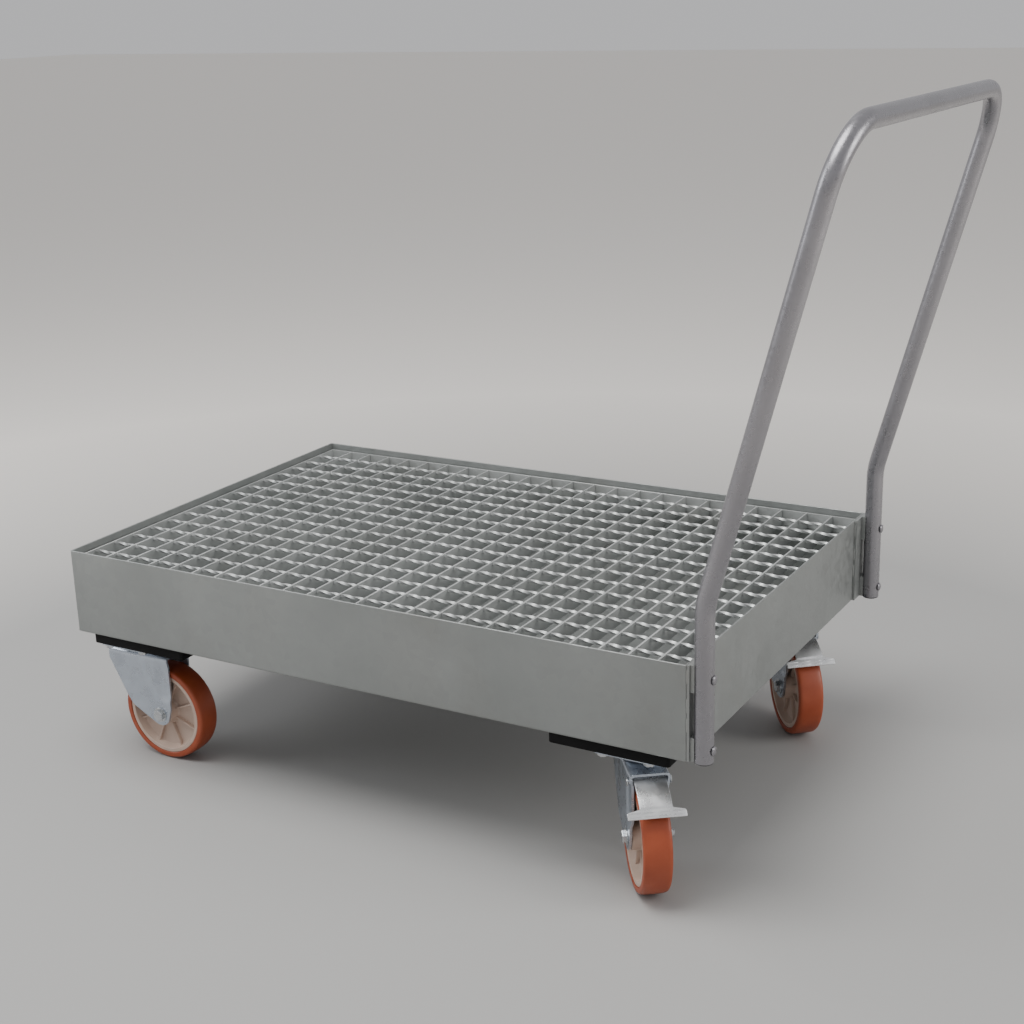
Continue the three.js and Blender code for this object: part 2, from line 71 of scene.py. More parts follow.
def add_box(bm, low, high):
    """Adds a block between two corners and returns its vertices, x slowest and z fastest."""
    points = [(x, y, z) for x in (low[0], high[0]) for y in (low[1], high[1]) for z in (low[2], high[2])]
    v = [bm.verts.new(p) for p in points]
    for a, b, c, d in ((0, 1, 3, 2), (4, 6, 7, 5), (0, 4, 5, 1), (2, 3, 7, 6), (0, 2, 6, 4), (1, 5, 7, 3)):
        bm.faces.new((v[a], v[b], v[c], v[d]))
    return v


def soften(bm, width, segments=2, sharper_than=30.0, where=None):
    """Rounds every edge sharper than the angle, or only those that pass the test."""
    bm.normal_update()
    limit = math.radians(sharper_than)
    edges = [e for e in bm.edges if len(e.link_faces) == 2 and e.calc_face_angle(0) > limit]
    if where:
        edges = [e for e in edges if where(e)]
    bmesh.ops.bevel(bm, geom=edges, offset=width, segments=segments, profile=0.5, affect="EDGES",
                    clamp_overlap=True)


def piece(name, bm, body, material, crease=38.0, replaces=()):
    """Turns a finished bmesh into a named piece that rides on a body."""
    bmesh.ops.recalc_face_normals(bm, faces=bm.faces)
    bm.normal_update()
    for face in bm.faces:
        face.smooth = True
    for edge in bm.edges:
        edge.smooth = len(edge.link_faces) == 2 and edge.calc_face_angle(0) < math.radians(crease)
    mesh = bpy.data.meshes.new(name)
    bm.to_mesh(mesh)
    bm.free()
    mesh.materials.append(material)
    obj = bpy.data.objects.new(name, mesh)
    bpy.context.scene.collection.objects.link(obj)
    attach(obj, body)
    if replaces:
        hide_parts(*replaces)
    return obj


def node_group(name, inputs, outputs):
    """An empty shader node group with float inputs (name, value) and outputs (name, kind)."""
    group = bpy.data.node_groups.new(name, "ShaderNodeTree")
    for label, value in inputs:
        socket = group.interface.new_socket(label, in_out="INPUT", socket_type="NodeSocketFloat")
        socket.default_value = value
    for label, kind in outputs:
        group.interface.new_socket(label, in_out="OUTPUT", socket_type=kind)
    start = group.nodes.new("NodeGroupInput")
    end = group.nodes.new("NodeGroupOutput")
    return group, start, end


def zinc_crystals():
    """Zinc spangle: crystals in slightly different greys, with a soft cloud over them."""
    group, start, end = node_group("zinc crystals", [("Crystal Scale", 70.0), ("Cloud Scale", 5.0)],
                                   [("Crystals", "NodeSocketFloat"), ("Cloud", "NodeSocketFloat"),
                                    ("Grain", "NodeSocketFloat")])
    new, link = group.nodes.new, group.links.new
    place = new("ShaderNodeTexCoord")
    warp = new("ShaderNodeTexNoise")
    warp.inputs["Scale"].default_value = 30.0
    bent = new("ShaderNodeVectorMath")
    bent.operation = "MULTIPLY_ADD"
    bent.inputs[1].default_value = (0.012, 0.012, 0.012)
    cells = new("ShaderNodeTexVoronoi")
    cells.inputs["Randomness"].default_value = 1.0
    bright = new("ShaderNodeSeparateColor")
    cloud = new("ShaderNodeTexNoise")
    cloud.inputs["Detail"].default_value = 4.0
    grain = new("ShaderNodeTexNoise")
    grain.inputs["Scale"].default_value = 900.0
    link(place.outputs["Object"], warp.inputs["Vector"])
    link(warp.outputs["Color"], bent.inputs[0])
    link(place.outputs["Object"], bent.inputs[2])
    link(bent.outputs[0], cells.inputs["Vector"])
    link(start.outputs["Crystal Scale"], cells.inputs["Scale"])
    link(cells.outputs["Color"], bright.inputs["Color"])
    link(place.outputs["Object"], cloud.inputs["Vector"])
    link(start.outputs["Cloud Scale"], cloud.inputs["Scale"])
    link(place.outputs["Object"], grain.inputs["Vector"])
    link(bright.outputs["Red"], end.inputs["Crystals"])
    link(cloud.outputs["Fac"], end.inputs["Cloud"])
    link(grain.outputs["Fac"], end.inputs["Grain"])
    return group


def water_stains():
    """Soft upright runs and a few blotches, as rain and handling leave on zinc. 1 is stained."""
    group, start, end = node_group("water stains", [("Blotch Scale", 3.5), ("Run Scale", 9.0)],
                                   [("Blotches", "NodeSocketFloat"), ("Runs", "NodeSocketFloat")])
    new, link = group.nodes.new, group.links.new
    place = new("ShaderNodeTexCoord")
    blotch = new("ShaderNodeTexNoise")
    blotch.inputs["Detail"].default_value = 5.0
    blotch.inputs["Roughness"].default_value = 0.6
    spread = new("ShaderNodeMapRange")
    spread.interpolation_type = "SMOOTHSTEP"
    spread.inputs["From Min"].default_value = 0.54
    spread.inputs["From Max"].default_value = 0.72
    upright = new("ShaderNodeMapping")
    upright.inputs["Scale"].default_value = (1.0, 1.0, 0.12)
    run = new("ShaderNodeTexNoise")
    run.inputs["Detail"].default_value = 3.0
    narrow = new("ShaderNodeMapRange")
    narrow.interpolation_type = "SMOOTHSTEP"
    narrow.inputs["From Min"].default_value = 0.45
    narrow.inputs["From Max"].default_value = 0.7
    link(place.outputs["Object"], blotch.inputs["Vector"])
    link(start.outputs["Blotch Scale"], blotch.inputs["Scale"])
    link(blotch.outputs["Fac"], spread.inputs["Value"])
    link(place.outputs["Object"], upright.inputs["Vector"])
    link(upright.outputs["Vector"], run.inputs["Vector"])
    link(start.outputs["Run Scale"], run.inputs["Scale"])
    link(run.outputs["Fac"], narrow.inputs["Value"])
    link(spread.outputs["Result"], end.inputs["Blotches"])
    link(narrow.outputs["Result"], end.inputs["Runs"])
    return group


def plain_material(name, roughness, metallic, colour):
    """A named material with its Principled shader's uniform values set."""
    material = bpy.data.materials.new(name)
    material.use_nodes = True
    material.diffuse_color = (*colour, 1.0)
    shader = material.node_tree.nodes["Principled BSDF"]
    shader.inputs["Roughness"].default_value = roughness
    shader.inputs["Metallic"].default_value = metallic
    shader.inputs["Base Color"].default_value = (*colour, 1.0)
    return material, shader


def mixed(tree, factor, first, second, mode="MIX"):
    """A colour mix of two colours or sockets by a factor or socket; returns its output."""
    node = tree.nodes.new("ShaderNodeMix")
    node.data_type = "RGBA"
    node.blend_type = mode
    for socket, value in zip((node.inputs[0], node.inputs[6], node.inputs[7]), (factor, first, second)):
        if isinstance(value, bpy.types.NodeSocket):
            tree.links.new(value, socket)
        elif isinstance(value, tuple):
            socket.default_value = (*value, 1.0)
        else:
            socket.default_value = value
    return node.outputs[2]


def ranged(tree, value, low, high, from_low=0.0, from_high=1.0):
    """Maps a value to a new range."""
    node = tree.nodes.new("ShaderNodeMapRange")
    tree.links.new(value, node.inputs["Value"])
    for label, number in (("From Min", from_low), ("From Max", from_high), ("To Min", low), ("To Max", high)):
        node.inputs[label].default_value = number
    return node.outputs["Result"]


def bumped(tree, shader, height, strength, distance):
    """Feeds a height into the shader's normal."""
    node = tree.nodes.new("ShaderNodeBump")
    node.inputs["Strength"].default_value = strength
    node.inputs["Distance"].default_value = distance
    tree.links.new(height, node.inputs["Height"])
    tree.links.new(node.outputs["Normal"], shader.inputs["Normal"])


def galvanised_steel(name, dark, light, stain, crystal_scale=70.0, stained=0.35, metallic=0.65,
                     roughness=(0.42, 0.6)):
    """Hot-dip zinc on steel, between two greys, with a share of its stain colour."""
    material, shader = plain_material(name, 0.5, metallic, light)
    tree = material.node_tree
    crystals = tree.nodes.new("ShaderNodeGroup")
    crystals.node_tree = bpy.data.node_groups["zinc crystals"]
    crystals.inputs["Crystal Scale"].default_value = crystal_scale
    marks = tree.nodes.new("ShaderNodeGroup")
    marks.node_tree = bpy.data.node_groups["water stains"]
    cloudy = mixed(tree, ranged(tree, crystals.outputs["Cloud"], 0.0, 1.0, 0.3, 0.7), dark, light)
    flecked = mixed(tree, ranged(tree, crystals.outputs["Crystals"], 0.0, 0.3), cloudy, light)
    run = mixed(tree, ranged(tree, marks.outputs["Runs"], 0.0, stained * 0.5), flecked, stain)
    final = mixed(tree, ranged(tree, marks.outputs["Blotches"], 0.0, stained), run, stain)
    tree.links.new(final, shader.inputs["Base Color"])
    rough = ranged(tree, crystals.outputs["Crystals"], *roughness)
    tree.links.new(rough, shader.inputs["Roughness"])
    bumped(tree, shader, crystals.outputs["Grain"], 0.25, 0.0004)
    return material


zinc_crystals()
water_stains()
tray_zinc = galvanised_steel("tray galvanised", (0.255, 0.268, 0.262), (0.32, 0.334, 0.328),
                             (0.24, 0.236, 0.222))

tray_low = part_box("tray_end_free")[0]
tray_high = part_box("tray_end_handle")[1]
low, high = tray_low, tray_high
bm = bmesh.new()
outer = add_box(bm, low, high)
inner_low = low + Vector((SHEET, SHEET, SHEET))
inner_high = Vector((high.x - SHEET, high.y - SHEET, high.z))
inner = add_box(bm, inner_low, inner_high)
bm.faces.ensure_lookup_table()
tops = [f for f in bm.faces if all(abs(v.co.z - high.z) < 1e-6 for v in f.verts)]
bmesh.ops.delete(bm, geom=tops, context="FACES_ONLY")
ring = (1, 3, 7, 5)
for a, b in zip(ring, ring[1:] + ring[:1]):
    bm.faces.new((outer[a], outer[b], inner[b], inner[a]))
bmesh.ops.recalc_face_normals(bm, faces=bm.faces)


def on_bottom(e):
    return all(v.co.z < low.z + 1e-6 for v in e.verts)


def on_outer_corner(e):
    outside = all(abs(v.co.x - low.x) < 1e-6 or abs(v.co.x - high.x) < 1e-6 for v in e.verts)
    upright = abs(e.verts[0].co.z - e.verts[1].co.z) > 0.1
    return outside and upright


soften(bm, FOLD_RADIUS, 4, where=on_bottom)
soften(bm, CORNER_RADIUS, 3, where=on_outer_corner)
soften(bm, RIM_EASE, 1, where=lambda e: all(v.co.z > high.z - 1e-6 for v in e.verts))
piece("tray_pan", bm, "root", tray_zinc, crease=25.0,
      replaces=("tray", "tray_end_free", "tray_end_handle"))

# ---------------------------------------------------------------------------------------------
# Weld runs. The pan's four upright corners are welded inside, and left as a rippled bead that
# the zinc has covered.
# ---------------------------------------------------------------------------------------------
WELD_RADIUS = 3.2 * MM
RIPPLE = 5 * MM
BEAD_INSET = 1 * MM
BEAD_STOP = 14 * MM


def weld_bead(bm, start, end, radius=WELD_RADIUS, sides=8, ripple=RIPPLE):
    """A rippled bead of weld between two points."""
    start, end = Vector(start), Vector(end)
    along = (end - start).normalized()
    turn = along.to_track_quat("Z", "Y").to_matrix()
    length = (end - start).length
    count = max(4, round(length / ripple * 2))
    rings = []
    for i in range(count + 1):
        swell = 1.0 if i % 2 else 0.86
        if i in (0, count):
            swell = 0.4
        centre = start + along * (length * i / count)
        rings.append([bm.verts.new(centre + turn @ Vector((math.cos(a), math.sin(a), 0)) * radius * swell)
                      for a in (2 * math.pi * k / sides for k in range(sides))])
    for first, second in zip(rings, rings[1:]):
        for k in range(sides):
            j = (k + 1) % sides
            bm.faces.new((first[k], first[j], second[j], second[k]))
    bm.faces.new(rings[0])
    bm.faces.new(rings[-1])


weld_zinc = galvanised_steel("welds under zinc", (0.30, 0.31, 0.30), (0.38, 0.39, 0.385), (0.26, 0.25, 0.23),
                             crystal_scale=160.0, roughness=(0.35, 0.5))
bm = bmesh.new()
for x in (inner_low.x + BEAD_INSET, inner_high.x - BEAD_INSET):
    for y in (inner_low.y + BEAD_INSET, inner_high.y - BEAD_INSET):
        weld_bead(bm, (x, y, inner_low.z), (x, y, high.z - BEAD_STOP))
piece("tray_corner_welds", bm, "root", weld_zinc)

# ---------------------------------------------------------------------------------------------
# Grating ledges. A folded angle, tacked inside each long wall below the rim; the ends of the
# bearing bars lie on it.
# ---------------------------------------------------------------------------------------------
LEDGE_FOLD = 3 * MM
TACKS = 7
TACK_LENGTH = 24 * MM
TACK_RADIUS = 2.4 * MM

for name in ("ledge_front", "ledge_rear"):
    low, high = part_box(name)
    inward = 1 if name == "ledge_front" else -1
    wall_y, edge_y = (low.y, high.y) if inward > 0 else (high.y, low.y)
    outline = [(wall_y, low.z), (wall_y, high.z), (edge_y, high.z), (edge_y, high.z - SHEET),
               (wall_y + inward * SHEET, high.z - SHEET), (wall_y + inward * SHEET, low.z)]
    bm = bmesh.new()
    ends = [[bm.verts.new((x, y, z)) for y, z in outline] for x in (low.x, high.x)]
    count = len(outline)
    for k in range(count):
        j = (k + 1) % count
        bm.faces.new((ends[0][k], ends[0][j], ends[1][j], ends[1][k]))
    bm.faces.new(ends[0])
    bm.faces.new(ends[1])

    def is_fold(e, wall_y=wall_y, top=high.z):
        return all(abs(v.co.y - wall_y) < 1e-6 and v.co.z > top - 1e-6 for v in e.verts)

    soften(bm, LEDGE_FOLD, 3, where=is_fold)
    soften(bm, 0.5 * MM, 1, sharper_than=60)
    piece(f"{name}_angle", bm, "root", tray_zinc, replaces=(name,))
    bm = bmesh.new()
    for k in range(TACKS):
        x = low.x + (high.x - low.x) * (k + 0.5) / TACKS
        ends = [(x + way * TACK_LENGTH / 2, wall_y, low.z) for way in (-1, 1)]
        weld_bead(bm, *ends, TACK_RADIUS)
    piece(f"{name}_tacks", bm, "root", weld_zinc)

# ---------------------------------------------------------------------------------------------
# Grating. Flat bearing bars on edge across the tray, closed by a band at each side, with
# twisted square rods forge-welded flush across their tops; it lifts out by hand.
# ---------------------------------------------------------------------------------------------
BAR = 3 * MM
BAYS = 24
ROD_COUNT = 15
ROD_SIZE = 6.5 * MM
ROD_SINK = 0.4 * MM
TWIST_STEP = 7 * MM
TWIST_PITCH = 98 * MM
BAR_EASE = 0.45 * MM

deck_zinc = galvanised_steel("grating galvanised", (0.40, 0.415, 0.41), (0.55, 0.565, 0.56),
                             (0.35, 0.35, 0.33), crystal_scale=110.0, stained=0.3, metallic=0.6,
                             roughness=(0.38, 0.55))
low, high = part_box("grating")
bay = (high.x - low.x - BAR) / BAYS
bm = bmesh.new()
for i in range(BAYS + 1):
    x = low.x + i * bay
    add_box(bm, (x, low.y + BAR, low.z), (x + BAR, high.y - BAR, high.z))
soften(bm, BAR_EASE, 1)
piece("grating_bearing_bars", bm, "deck", deck_zinc, replaces=("grating",))
bm = bmesh.new()
for y in (low.y, high.y - BAR):
    add_box(bm, (low.x, y, low.z), (high.x, y + BAR, high.z))
soften(bm, BAR_EASE, 1)
piece("grating_bands", bm, "deck", deck_zinc)
bm = bmesh.new()
rows = round((high.x - low.x - BAR) / TWIST_STEP)
for k in range(1, ROD_COUNT + 1):
    y = low.y + (high.y - low.y) * k / (ROD_COUNT + 1)
    rings = []
    for i in range(rows + 1):
        x = low.x + BAR / 2 + (high.x - low.x - BAR) * i / rows
        turn = 2 * math.pi * (x - low.x) / TWIST_PITCH
        ring = []
        for corner in range(4):
            a = turn + corner * math.pi / 2
            r = ROD_SIZE / 2
            ring.append(bm.verts.new((x, y + r * math.cos(a), high.z - ROD_SINK - r + r * math.sin(a))))
        rings.append(ring)
    for first, second in zip(rings, rings[1:]):
        for c in range(4):
            d = (c + 1) % 4
            bm.faces.new((first[c], first[d], second[d], second[c]))
    bm.faces.new(rings[0])
    bm.faces.new(rings[-1])
piece("grating_cross_rods", bm, "deck", deck_zinc, crease=50.0)

# ---------------------------------------------------------------------------------------------
# Spacer pads. A black plastic plate, its edges eased, between the tray and each castor.
# ---------------------------------------------------------------------------------------------
CORNERS = ("front_left", "rear_left", "front_right", "rear_right")
PAD_EASE = 1.5 * MM
PAD_CORNER = 6 * MM


def grained(name, colour, pale, roughness, grain=700.0, depth=0.0003, metallic=0.0, cloud=0.35):
    """A moulded material: fine grain, and a cloudy change towards a paler colour."""
    material, shader = plain_material(name, roughness, metallic, colour)
    tree = material.node_tree
    place = tree.nodes.new("ShaderNodeTexCoord")
    soft = tree.nodes.new("ShaderNodeTexNoise")
    soft.inputs["Scale"].default_value = 22.0
    soft.inputs["Detail"].default_value = 4.0
    fine = tree.nodes.new("ShaderNodeTexNoise")
    fine.inputs["Scale"].default_value = grain
    tree.links.new(place.outputs["Object"], soft.inputs["Vector"])
    tree.links.new(place.outputs["Object"], fine.inputs["Vector"])
    tone = mixed(tree, ranged(tree, soft.outputs["Fac"], 0.0, cloud, 0.35, 0.75), colour, pale)
    tree.links.new(tone, shader.inputs["Base Color"])
    worn = ranged(tree, fine.outputs["Fac"], roughness - 0.08, roughness + 0.08)
    tree.links.new(worn, shader.inputs["Roughness"])
    bumped(tree, shader, fine.outputs["Fac"], 0.3, depth)
    return material


pad_black = grained("spacer plastic", (0.003, 0.003, 0.0032), (0.008, 0.008, 0.0085), 0.6)
pad_black.node_tree.nodes["Principled BSDF"].inputs["Specular IOR Level"].default_value = 0.15
for corner in CORNERS:
    low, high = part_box(f"pad_{corner}")
    bm = bmesh.new()
    add_box(bm, low, high)
    soften(bm, PAD_CORNER, 4, where=lambda e: abs(e.verts[0].co.z - e.verts[1].co.z) > 5 * MM)
    soften(bm, PAD_EASE, 2, sharper_than=60)
    piece(f"spacer_pad_{corner}", bm, "root", pad_black, replaces=(f"pad_{corner}",))

# ---------------------------------------------------------------------------------------------
# Castor heads. A pressed top plate on four hexagon bolts with washers, a hardened ball race
# with its dust lip, and the king bolt's nut below; all zinc plated and blue passivated.
# ---------------------------------------------------------------------------------------------
PLATE_EASE = 1.2 * MM
PLATE_CORNER = 10 * MM
PLATE_BOLTS = (39 * MM, 51 * MM)
SCREW_FLATS = 16 * MM
SCREW_HEAD = 6 * MM
WASHER_RADIUS = 10 * MM
WASHER = 1.6 * MM
KING_NUT_TOP = 12 * MM
KING_NUT_FLATS = 24 * MM
KING_NUT = 9 * MM
KING_BOLT_RADIUS = 8 * MM


def plated_zinc(name, dark, light, tint, roughness=(0.2, 0.38), metallic=0.85):
    """Bright zinc plate: cool grey with a faint coloured bloom and fine rubbing marks."""
    material, shader = plain_material(name, 0.3, metallic, light)
    tree = material.node_tree
    crystals = tree.nodes.new("ShaderNodeGroup")
    crystals.node_tree = bpy.data.node_groups["zinc crystals"]
    crystals.inputs["Crystal Scale"].default_value = 260.0
    crystals.inputs["Cloud Scale"].default_value = 38.0
    cloudy = mixed(tree, ranged(tree, crystals.outputs["Cloud"], 0.0, 1.0, 0.3, 0.7), dark, light)
    bloom = mixed(tree, ranged(tree, crystals.outputs["Crystals"], 0.0, 0.25), cloudy, tint)
    tree.links.new(bloom, shader.inputs["Base Color"])
    tree.links.new(ranged(tree, crystals.outputs["Cloud"], *roughness, 0.3, 0.7), shader.inputs["Roughness"])
    bumped(tree, shader, crystals.outputs["Grain"], 0.12, 0.0003)
    return material


def add_turned(bm, profile, centre, axis="Z", steps=48):
    """Turns a closed outline of (radius, along) points about an axis through the centre."""
    centre = Vector(centre)
    rings = []
    for i in range(steps):
        a = 2 * math.pi * i / steps
        c, s = math.cos(a), math.sin(a)
        ring = []
        for radius, along in profile:
            offset = (radius * c, radius * s, along) if axis == "Z" else (radius * c, along, radius * s)
            ring.append(bm.verts.new(centre + Vector(offset)))
        rings.append(ring)
    count = len(profile)
    for i in range(steps):
        first, second = rings[i], rings[(i + 1) % steps]
        for k in range(count):
            j = (k + 1) % count
            bm.faces.new((first[k], first[j], second[j], second[k]))


def disc_profile(radius, low, high, ease, bore=0.2 * MM):
    """The outline of a round washer or boss with eased rims."""
    return [(bore, low), (radius - ease, low), (radius, low + ease), (radius, high - ease),
            (radius - ease, high), (bore, high)]


def add_hexagon(bm, centre, flats, height, axis="Z", way=1, ease=0.12):
    """A hexagon head or nut whose free end is turned to a chamfer. It stands on its centre point."""
    centre = Vector(centre)
    corner = flats / math.sqrt(3)
    levels = [(1.0, 0.0), (1.0, height * 0.82), (1.0 - ease, height)]
    rings = []
    for scale, along in levels:
        ring = []
        for k in range(6):
            a = math.pi / 6 + k * math.pi / 3
            u, v = corner * scale * math.cos(a), corner * scale * math.sin(a)
            offset = {"X": (way * along, u, v), "Y": (u, way * along, v), "Z": (u, v, way * along)}[axis]
            ring.append(bm.verts.new(centre + Vector(offset)))
        rings.append(ring)
    for first, second in zip(rings, rings[1:]):
        for k in range(6):
            j = (k + 1) % 6
            bm.faces.new((first[k], first[j], second[j], second[k]))
    bm.faces.new(rings[0])
    bm.faces.new(rings[-1])


head_zinc = plated_zinc("castor zinc plate", (0.42, 0.46, 0.52), (0.52, 0.57, 0.64), (0.50, 0.52, 0.56))
screw_zinc = plated_zinc("fixings zinc plate", (0.46, 0.48, 0.50), (0.62, 0.64, 0.66), (0.6, 0.58, 0.52))
pivots = {}
headings = {}
for corner in CORNERS:
    low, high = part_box(f"castor_plate_{corner}")
    pivots[corner] = Vector(((low.x + high.x) / 2, (low.y + high.y) / 2, 0))
    wheel_low, wheel_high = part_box(f"tread_{corner}")
    trailing = (wheel_low + wheel_high) / 2 - pivots[corner]
    headings[corner] = math.atan2(trailing.y, trailing.x)
    bm = bmesh.new()
    add_box(bm, low, high)
    soften(bm, PLATE_CORNER, 4, where=lambda e: abs(e.verts[0].co.z - e.verts[1].co.z) > 3 * MM)
    soften(bm, PLATE_EASE, 2, sharper_than=60)
    piece(f"castor_top_plate_{corner}", bm, "root", head_zinc,
          replaces=(f"castor_plate_{corner}",))
    bm = bmesh.new()
    for sx in (-1, 1):
        for sy in (-1, 1):
            seat = pivots[corner] + Vector((sx * PLATE_BOLTS[0], sy * PLATE_BOLTS[1], low.z))
            add_turned(bm, disc_profile(WASHER_RADIUS, -WASHER, -0.05 * MM, 0.3 * MM), seat, steps=24)
            add_hexagon(bm, seat - Vector((0, 0, WASHER)), SCREW_FLATS, SCREW_HEAD, way=-1)
    piece(f"castor_fixings_{corner}", bm, "root", screw_zinc)

    low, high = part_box(f"ball_race_{corner}")
    centre = pivots[corner] + Vector((0, 0, low.z))
    tall, wide = high.z - low.z, (high.x - low.x) / 2
    bm = bmesh.new()
    add_turned(bm, [(wide * 0.46, 0), (wide * 0.78, 0), (wide * 0.86, tall * 0.1), (wide * 0.9, tall * 0.36),
                    (wide * 0.8, tall * 0.46), (wide * 0.8, tall * 0.54), (wide * 0.96, tall * 0.56),
                    (wide * 0.995, tall * 0.66), (wide * 0.995, tall * 0.84), (wide * 0.93, tall),
                    (wide * 0.46, tall)], centre, steps=64)
    piece(f"race_{corner}", bm, "root", head_zinc, crease=50,
          replaces=(f"ball_race_{corner}",))

    low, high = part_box(f"king_bolt_{corner}")
    bm = bmesh.new()
    nut_top = low.z + KING_NUT_TOP
    foot = pivots[corner] + Vector((0, 0, nut_top))
    add_hexagon(bm, foot, KING_NUT_FLATS, KING_NUT, way=-1)
    shank = disc_profile(KING_BOLT_RADIUS, low.z - nut_top, high.z - nut_top, 1 * MM)
    add_turned(bm, shank, foot, steps=32)
    piece(f"king_bolt_nut_{corner}", bm, "root", screw_zinc,
          replaces=(f"king_bolt_{corner}",))

# ---------------------------------------------------------------------------------------------
# Castor forks. One pressing of 4 mm steel: a flat crown folded down into two cheeks, cut back
# in front and round under the axle, with a shallow flute down the trailing side; zinc plated.
# ---------------------------------------------------------------------------------------------
FORK_SHEET = 4 * MM
FORK_HALF = 32 * MM
TRAIL = 47 * MM
AXLE_HEIGHT = 90 * MM
CROWN_TOP = 206 * MM
FORK_FOLD = 6 * MM
BOSS_RADIUS = 21 * MM
FLUTE_FROM = 44 * MM
FLUTE_DEPTH = 3.2 * MM
FLUTE_RAMP = 10 * MM
FLUTE_FOOT = (116 * MM, 128 * MM)
FLUTE_HEAD = (186 * MM, 196 * MM)

FRONT_EDGE = [(206, -64), (184, -64), (114, -26), (106, -21), (100, -16), (96, -10), (71.3, 37.5)]
BACK_EDGE = [(206, 73), (104, 73), (86.7, 67.7)]


def between(stops, height):
    """The place on an edge, listed from the top down, at a height; both in metres."""
    for (z1, x1), (z0, x0) in zip(stops, stops[1:]):
        if height >= z0 * MM:
            share = (height - z0 * MM) / ((z1 - z0) * MM)
            return (x0 + (x1 - x0) * share) * MM
    return None


def cheek_span(height):
    """Where a cheek starts and ends, along the fork, at a height."""
    reach = math.sqrt(max(BOSS_RADIUS ** 2 - (height - AXLE_HEIGHT) ** 2, 1e-9))
    front = between(FRONT_EDGE, height)
    back = between(BACK_EDGE, height)
    return (TRAIL - reach if front is None else front, TRAIL + reach if back is None else back)


def smooth_step(value, low, high):
    share = min(max((value - low) / (high - low), 0.0), 1.0)
    return share * share * (3 - 2 * share)


def fork_mesh():
    """The pressing, with the swivel axis at x = y = 0."""
    mid_y = FORK_HALF - FORK_SHEET / 2
    mid_z = CROWN_TOP - FORK_SHEET / 2
    heights = [69.6, 71, 73, 76, 80, 84, 88, 93, 96, 100, 104, 109, 114, 119, 125, 132, 140, 150, 160, 170,
               178, 184, 191]
    side = [(mid_y, z * MM, z * MM) for z in heights]
    for k in range(5):
        a = math.pi / 2 * k / 4
        z = mid_z - FORK_FOLD + FORK_FOLD * math.sin(a)
        side.append((mid_y - FORK_FOLD + FORK_FOLD * math.cos(a), z, CROWN_TOP))
    rows = [(-y, z, at) for y, z, at in side]
    rows += [(mid_y * k / 3, mid_z, CROWN_TOP) for k in (-2, -1, 0, 1, 2)]
    rows += list(reversed(side))
    bm = bmesh.new()
    columns = 28
    grid = []
    for y, z, at in rows:
        front, back = cheek_span(at)
        line = []
        for c in range(columns + 1):
            x = front + (back - front) * c / columns
            flute = smooth_step(x, FLUTE_FROM, FLUTE_FROM + FLUTE_RAMP)
            flute *= smooth_step(z, *FLUTE_FOOT) * (1 - smooth_step(z, *FLUTE_HEAD))
            inward = FLUTE_DEPTH * flute * (1 if y > 0 else -1)
            line.append(bm.verts.new((x, y - inward if abs(y) > mid_y * 0.7 else y, z)))
        grid.append(line)
    for first, second in zip(grid, grid[1:]):
        for c in range(columns):
            bm.faces.new((first[c], first[c + 1], second[c + 1], second[c]))
    return bm


def stand_on(bm, corner):
    """Moves a castor piece from its own axes to its corner and heading."""
    bm.transform(Matrix.Translation(pivots[corner]) @ Matrix.Rotation(headings[corner], 4, "Z"))


for corner in CORNERS:
    bm = fork_mesh()
    stand_on(bm, corner)
    fork = piece(f"fork_pressing_{corner}", bm, f"swivel_{corner}", head_zinc, crease=60,
                 replaces=(f"fork_{corner}",))
    thick = fork.modifiers.new("sheet", "SOLIDIFY")
    thick.thickness = FORK_SHEET
    thick.offset = 0.0
    thick.use_even_offset = True
    eased = fork.modifiers.new("eased edges", "BEVEL")
    eased.width = 0.8 * MM
    eased.segments = 2
    eased.limit_method = "ANGLE"
    eased.angle_limit = math.radians(50)
    eased.use_clamp_overlap = True

# ---------------------------------------------------------------------------------------------
# Wheels. A moulded nylon core, pale beige, with ribs between hub and rim and a sealed bearing
# pressed into it; the tread is orange-brown polyurethane cast on to the rim.
# ---------------------------------------------------------------------------------------------
WHEEL_RADIUS = 90 * MM
RIM_INSIDE = 70 * MM
HUB_RADIUS = 22 * MM
HALF_WEB = 7 * MM
BORE = 8.6 * MM
RIBS = 8
RIB_THICK = 3.2 * MM
RIB_RISE = 6.5 * MM
RIB_ROOT = 1 * MM

core_beige = grained("wheel core nylon", (0.50, 0.37, 0.30), (0.62, 0.50, 0.42), 0.5, grain=420.0, cloud=0.6)
tread_orange = grained("cast tread", (0.32, 0.056, 0.018), (0.44, 0.098, 0.037), 0.42, grain=300.0, cloud=0.6)
seal_black = grained("bearing seal", (0.02, 0.02, 0.022), (0.05, 0.05, 0.05), 0.45)

side = [(BORE, 20.5), (14.5 * MM, 20.5), (15 * MM, 26.4), (15.6 * MM, 27), (21 * MM, 27), (22 * MM, 26),
        (23.5 * MM, 10), (26 * MM, 7), (60 * MM, 7), (66 * MM, 8.5), (69.5 * MM, 14), (70.5 * MM, 20.8),
        (71.2 * MM, 21.5), (77 * MM, 21.5), (77.8 * MM, 20.8)]
core_profile = [(r, y * MM) for r, y in side] + [(r, -y * MM) for r, y in reversed(side)]
tread_side = [(78.3, 21.9), (79, 22.5), (85.2, 22.5), (86.6, 22.1), (87.8, 21.1), (88.8, 19.2), (89.4, 16.5),
              (89.8, 11), (90, 4)]
tread_profile = [(r * MM, y * MM) for r, y in tread_side]
tread_profile += [(r * MM, -y * MM) for r, y in reversed(tread_side)]

